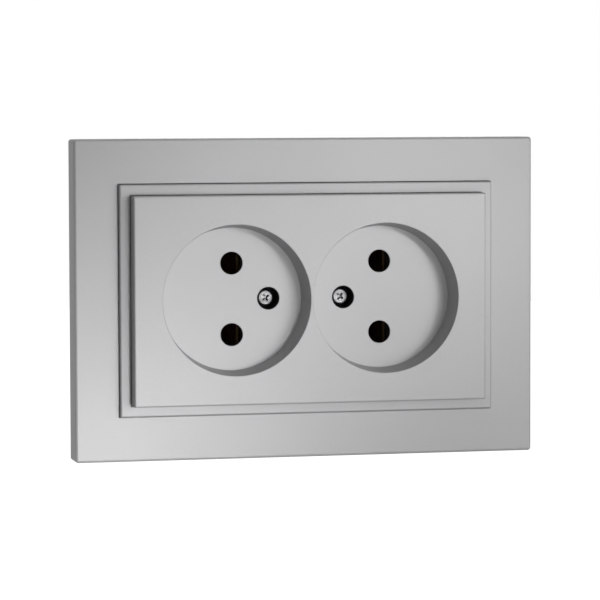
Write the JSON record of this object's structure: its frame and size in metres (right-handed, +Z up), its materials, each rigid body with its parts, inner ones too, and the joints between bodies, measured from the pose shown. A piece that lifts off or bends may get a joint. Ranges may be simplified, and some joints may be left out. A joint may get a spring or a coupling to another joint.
{
  "type": "double wall socket",
  "caption": "Flush double wall socket with round recessed cups, a wide silver frame, a mounting plate with spreading claws and screw terminals.",
  "frame": {"origin": "middle of the wall plane, midway between the two box-screw slots at the back of the mounting plate", "axes": "+X to the user's right along the frame's long side, +Z up, -Y out of the wall towards the user"},
  "size_m": [0.125, 0.0387, 0.085],
  "materials": {
    "frame_silver": "satin silver metallic lacquer on moulded plastic",
    "insert_silver": "satin silver metallic lacquer on moulded plastic",
    "cover_silver": "satin silver metallic lacquer on moulded plastic",
    "screw_steel": "bright nickel-plated steel",
    "plate_steel": "zinc-plated pressed steel",
    "base_plastic": "black thermoset moulding",
    "contact_brass": "bright stamped brass",
    "contact_bronze": "folded spring bronze"
  },
  "bodies": {
    "root": {"outer_frame": "frame_silver", "insert_frame": "insert_silver", "socket_cover": "cover_silver", "cover_screws": "screw_steel", "support_plate": "plate_steel", "socket_base": "base_plastic", "contact_lid": "base_plastic", "busbar_live": "contact_brass", "busbar_neutral": "contact_brass", "plate_rivets": "screw_steel", "contact_clip_left_live": "contact_bronze", "contact_clip_left_neutral": "contact_bronze", "contact_clip_right_live": "contact_bronze", "contact_clip_right_neutral": "contact_bronze"},
    "terminal_clamp_live": {"terminal_clamp_live": "plate_steel"},
    "terminal_clamp_neutral": {"terminal_clamp_neutral": "plate_steel"},
    "terminal_screw_live": {"terminal_screw_live": "screw_steel"},
    "terminal_screw_neutral": {"terminal_screw_neutral": "screw_steel"},
    "claw_top": {"claw_top": "plate_steel"},
    "claw_nut_top": {"claw_nut_top": "plate_steel"},
    "claw_screw_top": {"claw_screw_top": "screw_steel"},
    "claw_bottom": {"claw_bottom": "plate_steel"},
    "claw_nut_bottom": {"claw_nut_bottom": "plate_steel"},
    "claw_screw_bottom": {"claw_screw_bottom": "screw_steel"}
  },
  "joints": [
    {"name": "claw_top_spread", "type": "slide", "parent": "root", "child": "claw_top", "axis": [0, -0.788, 0.6157], "range_m": [0, 0.00444]},
    {"name": "claw_nut_top_draw", "type": "slide", "parent": "root", "child": "claw_nut_top", "axis": [0, -1, 0], "range_m": [0, 0.0035]},
    {"name": "claw_screw_top_turn", "type": "hinge", "parent": "root", "child": "claw_screw_top", "pos_m": [0, 0, 0.0215], "axis": [0, 1, 0], "range_deg": [0, 1800]},
    {"name": "claw_bottom_spread", "type": "slide", "parent": "root", "child": "claw_bottom", "axis": [0, -0.788, -0.6157], "range_m": [0, 0.00444]},
    {"name": "claw_nut_bottom_draw", "type": "slide", "parent": "root", "child": "claw_nut_bottom", "axis": [0, -1, 0], "range_m": [0, 0.0035]},
    {"name": "claw_screw_bottom_turn", "type": "hinge", "parent": "root", "child": "claw_screw_bottom", "pos_m": [0, 0, -0.0215], "axis": [0, 1, 0], "range_deg": [0, 1800]},
    {"name": "terminal_live_lift", "type": "slide", "parent": "root", "child": "terminal_clamp_live", "axis": [0, 1, 0], "range_m": [0, 0.0024]},
    {"name": "terminal_live_turn", "type": "hinge", "parent": "terminal_clamp_live", "child": "terminal_screw_live", "pos_m": [-0.009, 0, 0.0095], "axis": [0, 1, 0], "range_deg": [0, 1440]},
    {"name": "terminal_neutral_lift", "type": "slide", "parent": "root", "child": "terminal_clamp_neutral", "axis": [0, 1, 0], "range_m": [0, 0.0024]},
    {"name": "terminal_neutral_turn", "type": "hinge", "parent": "terminal_clamp_neutral", "child": "terminal_screw_neutral", "pos_m": [0.009, 0, -0.0095], "axis": [0, 1, 0], "range_deg": [0, 1440]}
  ],
  "couplings": [
    {"joint": "claw_nut_top_draw", "follows": "claw_top_spread", "ratio": 0.78801},
    {"joint": "claw_screw_top_turn", "follows": "claw_top_spread", "rad_per_m": 7073.2},
    {"joint": "claw_nut_bottom_draw", "follows": "claw_bottom_spread", "ratio": 0.78801},
    {"joint": "claw_screw_bottom_turn", "follows": "claw_bottom_spread", "rad_per_m": 7073.2},
    {"joint": "terminal_live_turn", "follows": "terminal_live_lift", "rad_per_m": 10472},
    {"joint": "terminal_neutral_turn", "follows": "terminal_neutral_lift", "rad_per_m": 10472}
  ]
}
